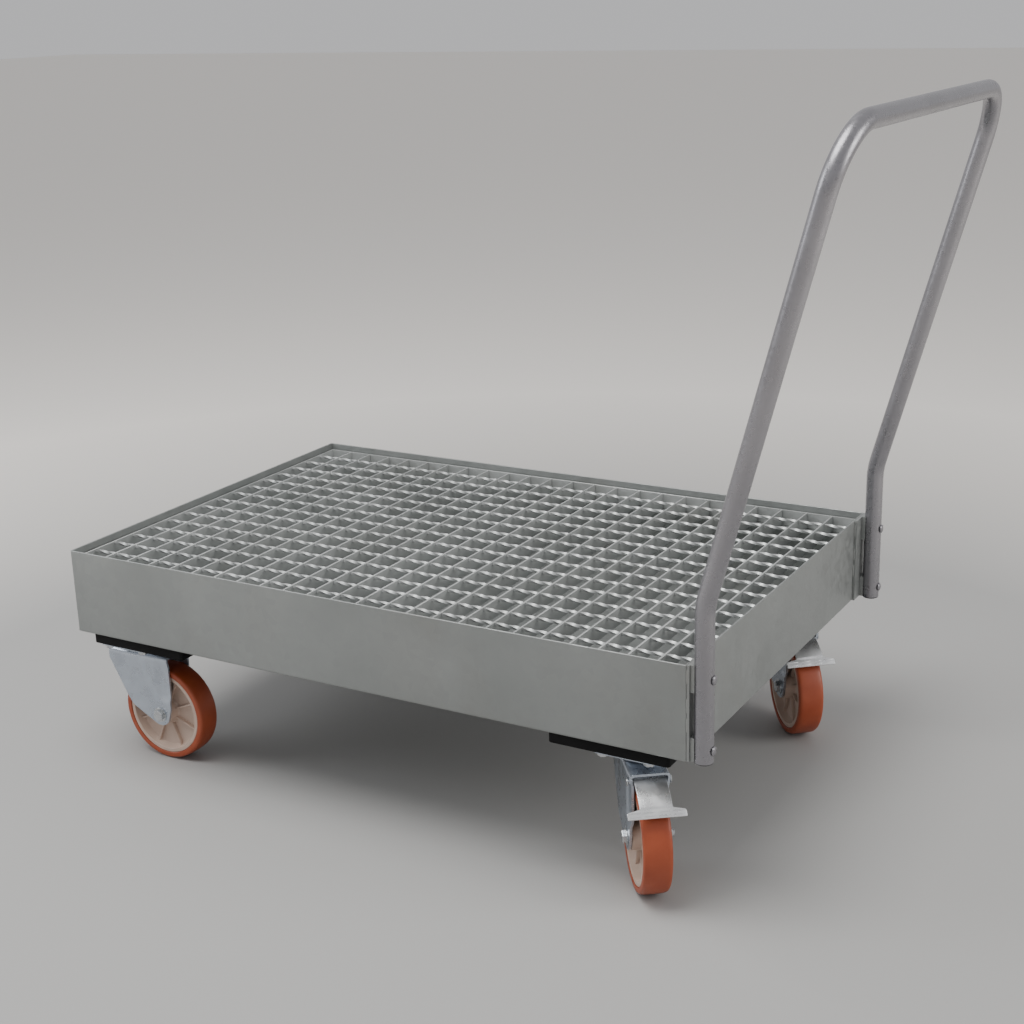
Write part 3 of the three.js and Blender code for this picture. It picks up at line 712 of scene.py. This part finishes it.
for corner in CORNERS:
    wheel = f"wheel_{corner}"
    bm = bmesh.new()
    centre = Vector((TRAIL, 0, AXLE_HEIGHT))
    add_turned(bm, core_profile, centre, "Y", 72)
    for side_sign in (-1, 1):
        for k in range(RIBS):
            a = 2 * math.pi * (k + 0.5) / RIBS
            rib = bmesh.new()
            low_y, high_y = sorted((side_sign * HALF_WEB * 0.6, side_sign * (HALF_WEB + RIB_RISE)))
            start = (HUB_RADIUS - RIB_ROOT, low_y, -RIB_THICK / 2)
            add_box(rib, start, (RIM_INSIDE + RIB_ROOT, high_y, RIB_THICK / 2))
            soften(rib, 0.8 * MM, 2)
            rib.transform(Matrix.Translation(centre) @ Matrix.Rotation(a, 4, "Y"))
            shape = bpy.data.meshes.new("rib")
            rib.to_mesh(shape)
            rib.free()
            bm.from_mesh(shape)
            bpy.data.meshes.remove(shape)
    stand_on(bm, corner)
    piece(f"wheel_core_moulding_{corner}", bm, wheel, core_beige, crease=32,
          replaces=(f"wheel_core_{corner}",))
    bm = bmesh.new()
    add_turned(bm, tread_profile, centre, "Y", 112)
    stand_on(bm, corner)
    piece(f"tread_casting_{corner}", bm, wheel, tread_orange, crease=40,
          replaces=(f"tread_{corner}",))
    for part, inner_r, outer_r, face, material in (("ring", 12.2, 14.4, 22.6, screw_zinc),
                                                   ("seal", 8.7, 12.1, 22.2, seal_black)):
        bm = bmesh.new()
        for way in (-1, 1):
            ends = sorted((way * 20.6 * MM, way * face * MM))
            add_turned(bm, [(inner_r * MM, ends[0]), (outer_r * MM, ends[0]), (outer_r * MM, ends[1]),
                            (inner_r * MM, ends[1])], centre, "Y", 40)
        stand_on(bm, corner)
        piece(f"bearing_{part}_{corner}", bm, wheel, material)

# ---------------------------------------------------------------------------------------------
# Axles. A hexagon bolt through both cheeks, with a flat washer under its head, a spacer sleeve
# inside the bearing, and a locknut with its nylon collar; zinc plated.
# ---------------------------------------------------------------------------------------------
AXLE_RADIUS = 6 * MM
AXLE_FLATS = 19 * MM
AXLE_HEAD = 7.5 * MM
AXLE_WASHER = 1.2 * MM
FACE = FORK_HALF + 0.3 * MM

for corner in CORNERS:
    centre = Vector((TRAIL, 0, AXLE_HEIGHT))
    bm = bmesh.new()
    add_turned(bm, disc_profile(AXLE_RADIUS, -FACE, FACE + AXLE_HEAD + 3 * MM, 0.8 * MM), centre, "Y", 32)
    add_turned(bm, disc_profile(14 * MM, -FACE - AXLE_WASHER, -FACE + 0.2 * MM, 0.3 * MM), centre, "Y", 32)
    add_hexagon(bm, centre - Vector((0, FACE + AXLE_WASHER, 0)), AXLE_FLATS, AXLE_HEAD - AXLE_WASHER, "Y", -1)
    stand_on(bm, corner)
    piece(f"axle_hex_bolt_{corner}", bm, f"swivel_{corner}", screw_zinc,
          replaces=(f"axle_bolt_{corner}",))
    bm = bmesh.new()
    add_hexagon(bm, centre + Vector((0, FACE, 0)), AXLE_FLATS, AXLE_HEAD * 0.78, "Y", 1)
    collar = disc_profile(8.4 * MM, FACE + AXLE_HEAD * 0.6, FACE + AXLE_HEAD, 1 * MM, 6.1 * MM)
    add_turned(bm, collar, centre, "Y", 32)
    stand_on(bm, corner)
    piece(f"axle_locknut_{corner}", bm, f"swivel_{corner}", screw_zinc,
          replaces=(f"axle_nut_{corner}",))
    bm = bmesh.new()
    add_turned(bm, disc_profile(8.3 * MM, -27.7 * MM, 27.7 * MM, 0.3 * MM, 6.3 * MM), centre, "Y", 32)
    stand_on(bm, corner)
    piece(f"axle_spacer_{corner}", bm, f"swivel_{corner}", screw_zinc,
          replaces=(f"axle_sleeve_{corner}",))

# ---------------------------------------------------------------------------------------------
# Brakes, on the two handle-end castors. A pressed foot pedal, wide at its toe, hinged on a
# riveted pin through the fork; a black moulded shoe under it bites on the tread.
# ---------------------------------------------------------------------------------------------
PEDAL_GAP = 14 * MM
PEDAL_SHEET = 4 * MM
PIN_PLACE = Vector((62 * MM, 0, 190 * MM))
PIN_RADIUS = 4 * MM
PEDAL_HALF = 25 * MM
FOOT_HALF = 45 * MM
BARREL_RADIUS = 8 * MM
SHOE_GAP = 9 * MM
SHOE_HALF = 18 * MM
TOOTH = 1.4 * MM
RIVET_HEAD = (6.5 * MM, 2.5 * MM)

# The pedal's plating is painted near-white, far paler than the other zinc: a painted highlight standing for
# the glare on its top.
pedal_zinc_painted_highlight = plated_zinc("pedal zinc plate painted highlight", (0.74, 0.75, 0.76), (0.86, 0.87, 0.88), (0.8, 0.8, 0.78),
                         roughness=(0.22, 0.36))
shoe_black = grained("brake shoe", (0.012, 0.012, 0.012), (0.04, 0.04, 0.04), 0.6)


def arc_place(radius, degrees, across):
    a = math.radians(degrees)
    return Vector((TRAIL + radius * math.cos(a), across, AXLE_HEIGHT + radius * math.sin(a)))


def pedal_mesh():
    """A strip bent round the wheel, crowned a little across, that widens to the foot."""
    radius = WHEEL_RADIUS + PEDAL_GAP + PEDAL_SHEET / 2
    stations = [41, 42, 43.5, 45, 46, 47, 48, 49, 50, 51, 53, 56, 60, 64, 68, 72, 76, 80]
    bm = bmesh.new()
    grid = []
    columns = 14
    for degrees in stations:
        half = FOOT_HALF + (PEDAL_HALF - FOOT_HALF) * smooth_step(degrees, 46.5, 49.5)
        line = []
        for c in range(columns + 1):
            across = half * (2 * c / columns - 1)
            lift = 0.9 * MM * math.cos(math.pi * across / FOOT_HALF / 1.6) if degrees > 49 else 0.0
            line.append(bm.verts.new(arc_place(radius + lift, degrees, across)))
        grid.append(line)
    for first, second in zip(grid, grid[1:]):
        for c in range(columns):
            bm.faces.new((first[c], first[c + 1], second[c + 1], second[c]))
    return bm


for corner in ("front_right", "rear_right"):
    body = f"brake_{corner}"
    bm = pedal_mesh()
    stand_on(bm, corner)
    pedal = piece(f"brake_pedal_pressing_{corner}", bm, body, pedal_zinc_painted_highlight, crease=60,
                  replaces=(f"brake_pedal_{corner}",))
    thick = pedal.modifiers.new("sheet", "SOLIDIFY")
    thick.thickness = PEDAL_SHEET - 1.0 * MM
    thick.offset = 0.0
    eased = pedal.modifiers.new("eased edges", "BEVEL")
    eased.width = 0.7 * MM
    eased.segments = 2
    eased.limit_method = "ANGLE"
    eased.angle_limit = math.radians(50)
    bm = bmesh.new()
    add_turned(bm, disc_profile(BARREL_RADIUS, -PEDAL_HALF, PEDAL_HALF, 1 * MM, 4.3 * MM), PIN_PLACE, "Y", 32)
    for across in (-33, -11, 11, 33):
        for degrees in (43, 46):
            rib = arc_place(WHEEL_RADIUS + PEDAL_GAP + PEDAL_SHEET - 0.7 * MM, degrees, across * MM)
            weld_bead(bm, rib - Vector((0, 9 * MM, 0)), rib + Vector((0, 9 * MM, 0)), 1.1 * MM, 6, 20 * MM)
    stand_on(bm, corner)
    piece(f"brake_barrel_{corner}", bm, body, pedal_zinc_painted_highlight, crease=50)
    bm = bmesh.new()
    inner_r, outer_r = WHEEL_RADIUS + SHOE_GAP, WHEEL_RADIUS + PEDAL_GAP + 0.4 * MM
    stations = [50 + k for k in range(15)]
    rings = []
    for k, degrees in enumerate(stations):
        tooth = inner_r if k % 2 else inner_r + TOOTH
        rings.append([bm.verts.new(arc_place(r, degrees, y)) for r, y in
                      ((tooth, -SHOE_HALF), (outer_r, -SHOE_HALF), (outer_r, SHOE_HALF), (tooth, SHOE_HALF))])
    for first, second in zip(rings, rings[1:]):
        for c in range(4):
            d = (c + 1) % 4
            bm.faces.new((first[c], first[d], second[d], second[c]))
    bm.faces.new(rings[0])
    bm.faces.new(rings[-1])
    stand_on(bm, corner)
    piece(f"brake_shoe_block_{corner}", bm, body, shoe_black, crease=25,
          replaces=(f"brake_shoe_{corner}",))
    bm = bmesh.new()
    add_turned(bm, disc_profile(PIN_RADIUS, -FACE, FACE, 0.5 * MM), PIN_PLACE, "Y", 24)
    for way in (-1, 1):
        ends = sorted((way * FACE, way * (FACE + RIVET_HEAD[1])))
        add_turned(bm, disc_profile(RIVET_HEAD[0], *ends, 1.1 * MM), PIN_PLACE, "Y", 24)
    stand_on(bm, corner)
    piece(f"brake_rivet_{corner}", bm, f"swivel_{corner}", screw_zinc,
          replaces=(f"brake_pin_{corner}",))

# ---------------------------------------------------------------------------------------------
# Push handle. One 30 mm steel tube bent into a U that leans out, zinc finished, with a dark grey
# plastic plug in each open foot.
# ---------------------------------------------------------------------------------------------
TUBE_RADIUS = 15 * MM
TUBE_WALL = 2 * MM
KNEE_HEIGHT = 494 * MM
LEAN = math.radians(15.4)
KNEE_RADIUS = 140 * MM
BEND_RADIUS = 92 * MM
TUBE_SIDES = 40
TUBE_SKIN = 14.9 * MM

tube_zinc = galvanised_steel("handle zinc", (0.235, 0.23, 0.245), (0.305, 0.298, 0.318), (0.21, 0.2, 0.21),
                             crystal_scale=200.0, stained=0.2, metallic=0.8, roughness=(0.26, 0.38))
plug_grey = grained("tube plug", (0.05, 0.05, 0.052), (0.1, 0.1, 0.1), 0.5)


def round_corner(corner, arriving, leaving, radius, steps):
    """Points round a bend, from where the path leaves one straight to where it joins the next."""
    angle = arriving.angle(leaving)
    start = corner - arriving * radius * math.tan(angle / 2)
    normal = (leaving - arriving * leaving.dot(arriving)).normalized()
    centre = start + normal * radius
    turns = [angle * k / steps for k in range(steps + 1)]
    return [centre - normal * radius * math.cos(a) + arriving * radius * math.sin(a) for a in turns]


def add_tube(bm, path, outer, inner, sides):
    """A hollow tube along a path, with square-cut ends; its frame is carried from ring to ring."""
    across = Vector((1, 0, 0))
    walls = {outer: [], inner: []}
    for i, point in enumerate(path):
        ahead = path[min(i + 1, len(path) - 1)] - point
        behind = point - path[max(i - 1, 0)]
        along = (ahead.normalized() + behind.normalized()).normalized()
        across = (across - along * across.dot(along)).normalized()
        other = along.cross(across)
        for radius, rings in walls.items():
            rings.append([bm.verts.new(point + (across * math.cos(a) + other * math.sin(a)) * radius)
                          for a in (2 * math.pi * k / sides for k in range(sides))])
    for rings in walls.values():
        for first, second in zip(rings, rings[1:]):
            for k in range(sides):
                j = (k + 1) % sides
                bm.faces.new((first[k], first[j], second[j], second[k]))
    for end in (0, -1):
        first, second = walls[outer][end], walls[inner][end]
        for k in range(sides):
            j = (k + 1) % sides
            bm.faces.new((first[k], first[j], second[j], second[k]))


low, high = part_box("handle_tube")
leg_x = low.x + TUBE_RADIUS
top_z = high.z - TUBE_RADIUS
foot_z = low.z
upward = Vector((0, 0, 1))
leaning = Vector((math.sin(LEAN), 0, math.cos(LEAN)))
legs = []
for leg_y, across in ((low.y + TUBE_RADIUS, 1), (high.y - TUBE_RADIUS, -1)):
    knee = Vector((leg_x, leg_y, KNEE_HEIGHT))
    bend_at = knee + leaning * (top_z - KNEE_HEIGHT) / math.cos(LEAN)
    stations = [Vector((leg_x, leg_y, foot_z))]
    stations += round_corner(knee, upward, leaning, KNEE_RADIUS, 8)
    stations += round_corner(bend_at, leaning, Vector((0, across, 0)), BEND_RADIUS, 20)
    legs.append(stations)
bm = bmesh.new()
add_tube(bm, legs[0] + legs[1][::-1], TUBE_SKIN, TUBE_RADIUS - TUBE_WALL, TUBE_SIDES)
piece("handle_bent_tube", bm, "root", tube_zinc, crease=50, replaces=("handle_tube",))
bm = bmesh.new()
for leg_y in (low.y + TUBE_RADIUS, high.y - TUBE_RADIUS):
    add_turned(bm, [(0.3 * MM, 12 * MM), (12.7 * MM, 12 * MM), (12.7 * MM, 0), (14.6 * MM, -0.2 * MM),
                    (14 * MM, -2 * MM), (11 * MM, -3.4 * MM), (0.3 * MM, -4 * MM)],
               Vector((leg_x, leg_y, foot_z)), steps=36)
piece("handle_foot_plugs", bm, "root", plug_grey, crease=40)

# ---------------------------------------------------------------------------------------------
# Handle brackets. A 4 mm plate on the end wall for each leg, with two saddle lugs that hold
# the tube off the wall; stitch welded, and each lug takes a button-head bolt through the tube.
# ---------------------------------------------------------------------------------------------
BUTTON_RADIUS = 7.5 * MM
BUTTON = 3 * MM
SHANK_RADIUS = 4 * MM
SEAM_LENGTH = 24 * MM
SEAM_RADIUS = 2.2 * MM
SEAM_INSET = 1.4 * MM

for name in ("front", "rear"):
    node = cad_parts[f"handle_bracket_{name}"]
    node.data.materials.clear()
    node.data.materials.append(tray_zinc)
    eased = node.modifiers.new("eased edges", "BEVEL")
    eased.width = 0.6 * MM
    eased.segments = 2
    eased.limit_method = "ANGLE"
    eased.angle_limit = math.radians(60)
    low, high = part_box(f"handle_bracket_{name}")
    bm = bmesh.new()
    back = low.x + 0.4 * MM
    for y in (low.y, high.y):
        edge = y + (SEAM_INSET if y == low.y else -SEAM_INSET)
        for z in (0.3, 0.5, 0.8):
            z0 = low.z + (high.z - low.z) * z
            weld_bead(bm, (back, edge, z0), (back, edge, z0 + SEAM_LENGTH), SEAM_RADIUS)
    piece(f"bracket_welds_{name}", bm, "root", weld_zinc)
    for level in ("lower", "upper"):
        node_name = f"handle_bolt_{name}_{level}"
        low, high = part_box(node_name)
        length = high.x - BUTTON - low.x
        bm = bmesh.new()
        add_turned(bm, [(0.3 * MM, 0), (SHANK_RADIUS, 0), (SHANK_RADIUS, length), (BUTTON_RADIUS, length),
                        (BUTTON_RADIUS, length + 0.7 * MM), (6.6 * MM, length + 1.9 * MM),
                        (4.4 * MM, length + 2.7 * MM), (0.3 * MM, length + BUTTON)], (0, 0, 0), steps=32)
        place = Matrix.Translation((low.x, (low.y + high.y) / 2, (low.z + high.z) / 2))
        bm.transform(place @ Matrix.Rotation(math.pi / 2, 4, "Y"))
        piece(f"handle_button_bolt_{name}_{level}", bm, "root", tube_zinc,
              replaces=(node_name,))

# ---------------------------------------------------------------------------------------------
# Studio: a floor grey near the tray and pale further out, under a broad soft light, seen from the front and
# the handle end. The grey is kept dark partly as painted shade that deepens the shadow under the tray, and
# the pale outer part is partly painted light that makes up for the lamps' falloff.
# ---------------------------------------------------------------------------------------------
floor_mesh = bmesh.new()
bmesh.ops.create_grid(floor_mesh, x_segments=8, y_segments=8, size=30)
floor_data = bpy.data.meshes.new("floor")
floor_mesh.to_mesh(floor_data)
floor_mesh.free()
floor = bpy.data.objects.new("floor", floor_data)
bpy.context.scene.collection.objects.link(floor)
floor_paint, shader = plain_material("floor paint", 0.75, 0.0, (0.5, 0.5, 0.5))
tree = floor_paint.node_tree
place = tree.nodes.new("ShaderNodeTexCoord")
away = tree.nodes.new("ShaderNodeVectorMath")
away.operation = "LENGTH"
tree.links.new(place.outputs["Object"], away.inputs[0])
# Painted shade and light: the floor is darker within 1.3 m of the tray, deepening the shadow under it, and
# paler beyond 2.8 m to make up for the lamps' falloff.
shade_and_falloff_fade = ranged(tree, away.outputs["Value"], 0.0, 1.0, 1.3, 2.8)
tone = mixed(tree, shade_and_falloff_fade, (0.37, 0.367, 0.36), (0.93, 0.895, 0.845))
tree.links.new(tone, shader.inputs["Base Color"])
floor_data.materials.append(floor_paint)
floor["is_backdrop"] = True

world = bpy.data.worlds.new("studio")
bpy.context.scene.world = world
world.use_nodes = True
world.node_tree.nodes["Background"].inputs["Color"].default_value = (0.93, 0.93, 0.95, 1.0)
world.node_tree.nodes["Background"].inputs["Strength"].default_value = 0.6


def soft_light(name, place, aim, size, power, colour):
    data = bpy.data.lights.new(name, "AREA")
    data.shape = "DISK"
    data.size = size
    data.energy = power
    data.color = colour
    lamp = bpy.data.objects.new(name, data)
    bpy.context.scene.collection.objects.link(lamp)
    lamp.location = place
    lamp.rotation_euler = (Vector(aim) - Vector(place)).to_track_quat("-Z", "Y").to_euler()


soft_light("overhead", (-0.6, -0.9, 3.6), (0, 0, 0.3), 2.6, 130.0, (1.0, 0.99, 0.97))
soft_light("left", (-3.2, -1.6, 2.2), (0, 0, 0.4), 2.0, 42.0, (0.96, 0.98, 1.0))
soft_light("handle side", (3.4, 0.6, 1.7), (0.5, 0, 0.35), 1.8, 48.0, (1.0, 0.98, 0.95))

AZIMUTH, ELEVATION, ROLL = math.radians(30.22), math.radians(17.58), math.radians(-1.656)
EYE_FROM_TRAY = Vector((0.9, -2.03136, 1.09439))
LENS = 58.3
camera_data = bpy.data.cameras.new("camera")
camera_data.lens = LENS
camera_data.sensor_width = 36.0
camera = bpy.data.objects.new("camera", camera_data)
bpy.context.scene.collection.objects.link(camera)
back = Vector((math.sin(AZIMUTH) * math.cos(ELEVATION), -math.cos(AZIMUTH) * math.cos(ELEVATION),
               math.sin(ELEVATION)))
level = Vector((math.cos(AZIMUTH), math.sin(AZIMUTH), 0))
upright = back.cross(level)
right = level * math.cos(ROLL) + upright * math.sin(ROLL)
up = upright * math.cos(ROLL) - level * math.sin(ROLL)
turn = Matrix((right, up, back)).transposed().to_4x4()
eye = Vector((tray_high.x, tray_low.y, tray_low.z)) + EYE_FROM_TRAY
camera.matrix_world = Matrix.Translation(eye) @ turn
bpy.context.scene.camera = camera

low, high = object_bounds()
